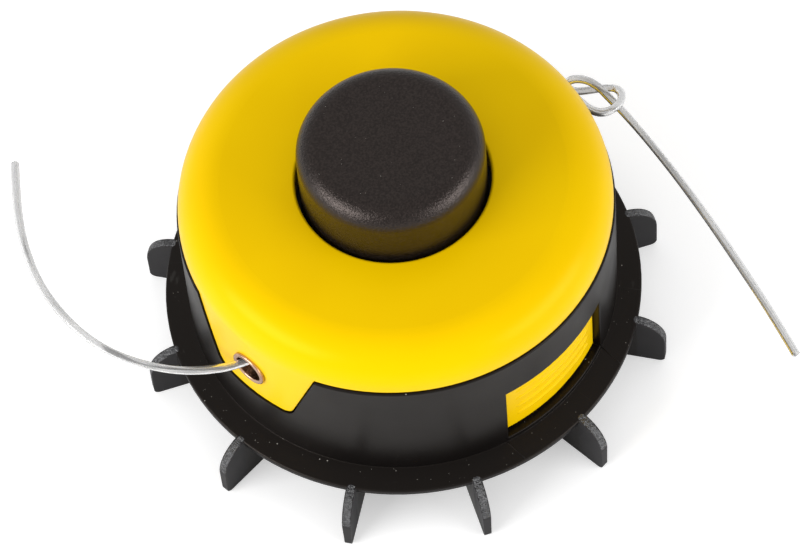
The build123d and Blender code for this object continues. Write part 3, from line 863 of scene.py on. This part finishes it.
def thread_wall(shape, sizes, bottom, top):
    """Inner wall of the insert: one turn of the thread's profile, spun along the bore and trimmed."""
    pitch = sizes.thread_pitch
    turns = math.ceil((top - bottom) / pitch) + 2
    profile = []
    for turn in range(turns):
        z = bottom + (turn - 2) * pitch
        for depth, share in THREAD_PROFILE:
            radius = sizes.thread_radius + depth * sizes.thread_depth
            profile.append(shape.verts.new((radius, 0, z + share * pitch)))
    for first, second in zip(profile, profile[1:]):
        shape.edges.new((first, second))
    bmesh.ops.spin(
        shape,
        geom=list(shape.verts) + list(shape.edges),
        cent=(0, 0, 0),
        axis=(0, 0, 1),
        dvec=(0, 0, pitch / THREAD_STEPS),
        angle=2 * math.pi,
        steps=THREAD_STEPS,
        use_merge=False,
    )
    bmesh.ops.remove_doubles(shape, verts=list(shape.verts), dist=pitch / 1000)
    for height, ends in ((bottom, {"clear_inner": True}), (top, {"clear_outer": True})):
        geom = list(shape.verts) + list(shape.edges) + list(shape.faces)
        bmesh.ops.bisect_plane(
            shape, geom=geom, dist=pitch / 1000, plane_co=(0, 0, height), plane_no=(0, 0, 1), **ends
        )
    for vert in shape.verts:
        mouth = sizes.thread_radius + sizes.thread_mouth - (vert.co.z - bottom)
        reach = vert.co.xy.length
        if reach < mouth:
            vert.co.xy *= mouth / reach


class TRIMMER_HEAD_OT_drive_insert(bpy.types.Operator):
    """Replaces the plain drive insert by one with its thread cut"""

    bl_idname = "trimmer_head.drive_insert"
    bl_label = "Drive Insert"

    def execute(self, context):
        sizes = context.scene.trimmer_head_sizes
        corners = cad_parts["drive_insert"].bound_box
        bottom, top = min(corner[2] for corner in corners), max(corner[2] for corner in corners)
        hexagon = max(corner[0] for corner in corners)
        shape = bmesh.new()
        thread_wall(shape, sizes, bottom, top)
        outline = []
        for height, up in ((bottom, -1), (top, 1)):
            rim = [edge for edge in shape.edges if edge.is_boundary and at_height(edge, height)]
            place = Matrix.Translation((0, 0, height)) @ Matrix.Rotation(math.radians(30), 4, "Z")
            made = bmesh.ops.create_circle(shape, radius=hexagon, segments=6, matrix=place)
            side = list({edge for vert in made["verts"] for edge in vert.link_edges})
            bmesh.ops.triangle_fill(shape, edges=rim + side, use_beauty=True, normal=(0, 0, up))
            outline += side
        bmesh.ops.bridge_loops(shape, edges=outline)
        bmesh.ops.recalc_face_normals(shape, faces=list(shape.faces))
        finishes = context.scene.trimmer_head_finishes
        hues = finishes.insert_brass, finishes.insert_tarnish
        brass = metal_material("machined_brass", *hues, grain_scale=1800.0, roughness=0.2)
        insert = add_mesh("threaded_insert", shape, brass)
        insert.data.set_sharp_from_angle(angle=THREAD_CREASE)
        seat(insert, "housing")
        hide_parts("drive_insert")
        return {"FINISHED"}


class TRIMMER_HEAD_OT_spool(bpy.types.Operator):
    """Finishes the spool and the line wound on it"""

    bl_idname = "trimmer_head.spool"
    bl_label = "Spool"

    def execute(self, context):
        finishes = context.scene.trimmer_head_finishes
        dress("spool", spool_material(finishes))
        wound = line_material("wound_nylon_line", finishes.nylon, finishes.line_clear / 2)
        dress("line_winding_lower", wound)
        dress("line_winding_upper", wound)
        return {"FINISHED"}


class TRIMMER_HEAD_OT_spring(bpy.types.Operator):
    """Finishes the feed spring and its washer"""

    bl_idname = "trimmer_head.spring"
    bl_label = "Spring"

    def execute(self, context):
        finishes = context.scene.trimmer_head_finishes
        hues = finishes.steel, finishes.steel_dark
        steel = metal_material("drawn_steel", *hues, grain_scale=2200.0, roughness=0.22)
        dress("feed_spring", steel)
        dress("thrust_washer", steel)
        return {"FINISHED"}


def seen_rays(tree):
    """One for what the eye sees, straight or through the clear line, and none for light that falls."""
    path = put(tree, "LightPath")
    return calc(tree, "MAXIMUM", path.outputs["Is Camera Ray"], path.outputs["Is Transmission Ray"])


def floor_material(studio):
    """White floor that keeps the shadow of what stands on it."""
    material = bpy.data.materials.new("white_floor")
    material.use_nodes = True
    tree = material.node_tree
    tree.nodes.clear()
    diffuse = put(tree, "BsdfDiffuse", {"Color": rgba(studio.floor_white)})
    lift = calc(tree, "MULTIPLY", seen_rays(tree), studio.floor_lift)
    glow = put(tree, "Emission", {"Strength": lift})
    both = put(tree, "AddShader", {0: diffuse.outputs[0], 1: glow.outputs[0]})
    put(tree, "OutputMaterial", {"Surface": both.outputs[0]})
    return material


def add_lamp(name, azimuth, elevation, power, studio):
    """A soft lamp that faces the head."""
    data = bpy.data.lights.new(name, "AREA")
    data.shape = "RECTANGLE"
    data.size = studio.lamp_width
    data.size_y = studio.lamp_height
    data.energy = power
    away = Vector(
        (
            math.cos(elevation) * math.cos(azimuth),
            math.cos(elevation) * math.sin(azimuth),
            math.sin(elevation),
        )
    )
    target = Vector((0, 0, studio.lamp_aim_z))
    lamp = add_object(name, data)
    lamp.matrix_world = Matrix.LocRotScale(
        target + away * studio.lamp_distance, away.to_track_quat("Z", "Y"), None
    )
    return lamp


class TRIMMER_HEAD_OT_stage(bpy.types.Operator):
    """Sets up the white floor, the even sky and two soft lamps"""

    bl_idname = "trimmer_head.stage"
    bl_label = "Stage"

    def execute(self, context):
        studio = context.scene.trimmer_head_studio
        shape = bmesh.new()
        bmesh.ops.create_circle(shape, cap_ends=True, radius=studio.floor_radius, segments=96)
        floor = add_mesh("floor", shape, floor_material(studio), smooth=False)
        world = bpy.data.worlds.new("even_sky")
        world.use_nodes = True
        tree = world.node_tree
        path = put(tree, "LightPath")
        strength = fade(tree, path.outputs["Is Camera Ray"], 0.0, 1.0, studio.sky, 1.0)
        background = next(node for node in tree.nodes if node.type == "BACKGROUND")
        background.inputs["Color"].default_value = (1, 1, 1, 1)
        tree.links.new(strength, background.inputs["Strength"])
        context.scene.world = world
        place = context.scene.trimmer_head_view.place
        front = math.atan2(place.y, place.x)
        add_lamp("left_lamp", front + studio.left_turn, studio.left_rise, studio.left_power, studio)
        add_lamp("right_lamp", front + studio.right_turn, studio.right_rise, studio.right_power, studio)
        context.scene.view_settings.view_transform = "Standard"
        return {"FINISHED"}


OPERATORS = (
    TRIMMER_HEAD_OT_camera,
    TRIMMER_HEAD_OT_free_lines,
    TRIMMER_HEAD_OT_cover,
    TRIMMER_HEAD_OT_base,
    TRIMMER_HEAD_OT_fin_flash,
    TRIMMER_HEAD_OT_knob,
    TRIMMER_HEAD_OT_eyelets,
    TRIMMER_HEAD_OT_drive_insert,
    TRIMMER_HEAD_OT_spool,
    TRIMMER_HEAD_OT_spring,
    TRIMMER_HEAD_OT_stage,
)


class TRIMMER_HEAD_PT_panel(bpy.types.Panel):
    """Lists the head's settings and the steps that build it"""

    bl_idname = "TRIMMER_HEAD_PT_panel"
    bl_label = "Trimmer Head"
    bl_space_type = "VIEW_3D"
    bl_region_type = "UI"
    bl_category = "Trimmer Head"

    def draw(self, context):
        layout = self.layout
        for attribute, group in PROPERTY_GROUPS.items():
            box = layout.box()
            settings = getattr(context.scene, attribute)
            for name in group.__annotations__:
                box.prop(settings, name)
        for operator in OPERATORS:
            layout.operator(operator.bl_idname)


def register():
    for group in PROPERTY_GROUPS.values():
        bpy.utils.register_class(group)
    for attribute, group in PROPERTY_GROUPS.items():
        setattr(bpy.types.Scene, attribute, PointerProperty(type=group))
    for operator in OPERATORS:
        bpy.utils.register_class(operator)
    bpy.utils.register_class(TRIMMER_HEAD_PT_panel)


def unregister():
    bpy.utils.unregister_class(TRIMMER_HEAD_PT_panel)
    for operator in reversed(OPERATORS):
        bpy.utils.unregister_class(operator)
    for attribute, group in PROPERTY_GROUPS.items():
        delattr(bpy.types.Scene, attribute)
        bpy.utils.unregister_class(group)


def main():
    register()
    bpy.ops.trimmer_head.camera()
    bpy.ops.trimmer_head.free_lines()
    bpy.ops.trimmer_head.cover()
    bpy.ops.trimmer_head.base()
    bpy.ops.trimmer_head.fin_flash()
    bpy.ops.trimmer_head.knob()
    bpy.ops.trimmer_head.eyelets()
    bpy.ops.trimmer_head.drive_insert()
    bpy.ops.trimmer_head.spool()
    bpy.ops.trimmer_head.spring()
    bpy.ops.trimmer_head.stage()


if __name__ == "__main__":
    main()
